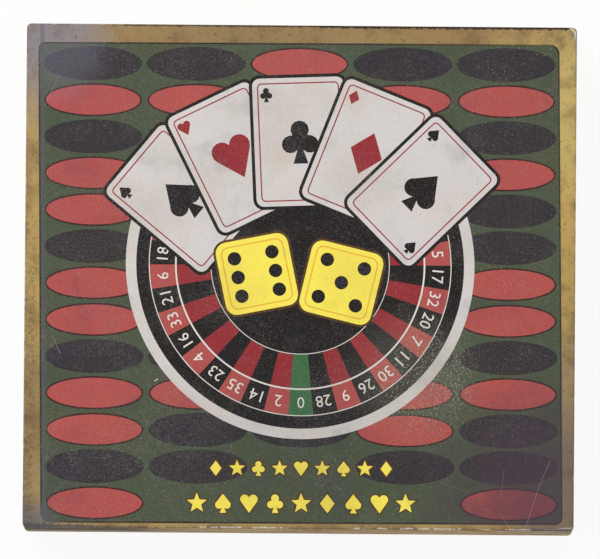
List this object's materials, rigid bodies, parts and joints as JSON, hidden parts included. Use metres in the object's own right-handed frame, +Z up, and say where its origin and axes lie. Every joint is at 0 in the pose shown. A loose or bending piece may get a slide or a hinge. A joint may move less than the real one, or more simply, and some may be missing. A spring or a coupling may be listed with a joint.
{
  "type": "casino game box",
  "caption": "Rigid paper-covered game box with a lift-off lid, a foam insert, a small roulette wheel that spins, metal chips, cards and dice.",
  "frame": {"origin": "centre of the closed box, on the surface that it stands on", "axes": "+X to the right of the cover as it is read, +Y towards the cover's top edge, +Z up"},
  "size_m": [0.3, 0.275, 0.06],
  "materials": {
    "lid_print": "satin",
    "greyboard": "matte",
    "white_lining": "matte",
    "black_paper": "matte",
    "black_lining": "matte",
    "green_felt": "matte",
    "leaflet_paper": "matte",
    "black_foam": "matte",
    "walnut_plastic": "gloss",
    "bright_metal": "polished",
    "foot_rubber": "matte",
    "spindle_steel": "satin",
    "bush_brass": "satin",
    "rotor_plastic": "gloss",
    "turret_brass": "polished",
    "ball_white": "gloss",
    "chip_metal": "satin",
    "card_red": "satin",
    "card_blue": "satin",
    "band_paper": "matte",
    "die_acrylic": "gloss"
  },
  "bodies": {
    "base": {"base_board": "greyboard", "base_wrap": "black_paper", "base_liner": "black_lining"},
    "lid": {"lid_board": "greyboard", "lid_wrap": "lid_print", "lid_liner": "white_lining"},
    "mat": {"layout_mat": "green_felt", "rules_leaflet": "leaflet_paper"},
    "foam": {"foam_insert": "black_foam"},
    "wheel": {"wheel_bowl": "walnut_plastic", "ball_deflectors": "bright_metal", "bowl_feet": "foot_rubber", "spindle": "spindle_steel", "spindle_nut": "spindle_steel"},
    "rotor": {"rotor_dish": "rotor_plastic", "rotor_bush": "bush_brass", "pocket_frets": "bright_metal", "rotor_cone": "turret_brass", "turret_column": "bright_metal", "turret_arms": "bright_metal", "turret_knobs": "bright_metal", "turret_finial": "bright_metal"},
    "ball": {"roulette_ball": "ball_white"},
    "chips": {"metal_chips": "chip_metal"},
    "cards": {"red_cards": "card_red", "blue_cards": "card_blue", "card_bands": "band_paper"},
    "dice": {"precision_dice": "die_acrylic"}
  },
  "joints": [
    {"name": "lid_lift", "type": "slide", "parent": "base", "child": "lid", "axis": [0, 0, 1], "range_m": [0, 0.25]},
    {"name": "mat_lift", "type": "slide", "parent": "base", "child": "mat", "axis": [0, 0, 1], "range_m": [0, 0.03]},
    {"name": "foam_lift", "type": "slide", "parent": "base", "child": "foam", "axis": [0, 0, 1], "range_m": [0, 0.08]},
    {"name": "wheel_lift", "type": "slide", "parent": "foam", "child": "wheel", "axis": [0, 0, 1], "range_m": [0, 0.06]},
    {"name": "ball_lift", "type": "slide", "parent": "foam", "child": "ball", "axis": [0, 0, 1], "range_m": [0, 0.04]},
    {"name": "chips_lift", "type": "slide", "parent": "foam", "child": "chips", "axis": [0, 0, 1], "range_m": [0, 0.03]},
    {"name": "cards_lift", "type": "slide", "parent": "foam", "child": "cards", "axis": [0, 0, 1], "range_m": [0, 0.05]},
    {"name": "dice_lift", "type": "slide", "parent": "foam", "child": "dice", "axis": [0, 0, 1], "range_m": [0, 0.03]},
    {"name": "rotor_spin", "type": "hinge", "parent": "wheel", "child": "rotor", "pos_m": [-0.0448, 0.0323, 0.0146], "axis": [0, 0, 1], "continuous": true}
  ],
  "couplings": [
    {"joint": "mat_lift", "follows": "lid_lift", "ratio": 0.12},
    {"joint": "foam_lift", "follows": "lid_lift", "ratio": 0.32},
    {"joint": "wheel_lift", "follows": "lid_lift", "ratio": 0.24},
    {"joint": "ball_lift", "follows": "lid_lift", "ratio": 0.16},
    {"joint": "chips_lift", "follows": "lid_lift", "ratio": 0.12},
    {"joint": "cards_lift", "follows": "lid_lift", "ratio": 0.2},
    {"joint": "dice_lift", "follows": "lid_lift", "ratio": 0.12}
  ]
}
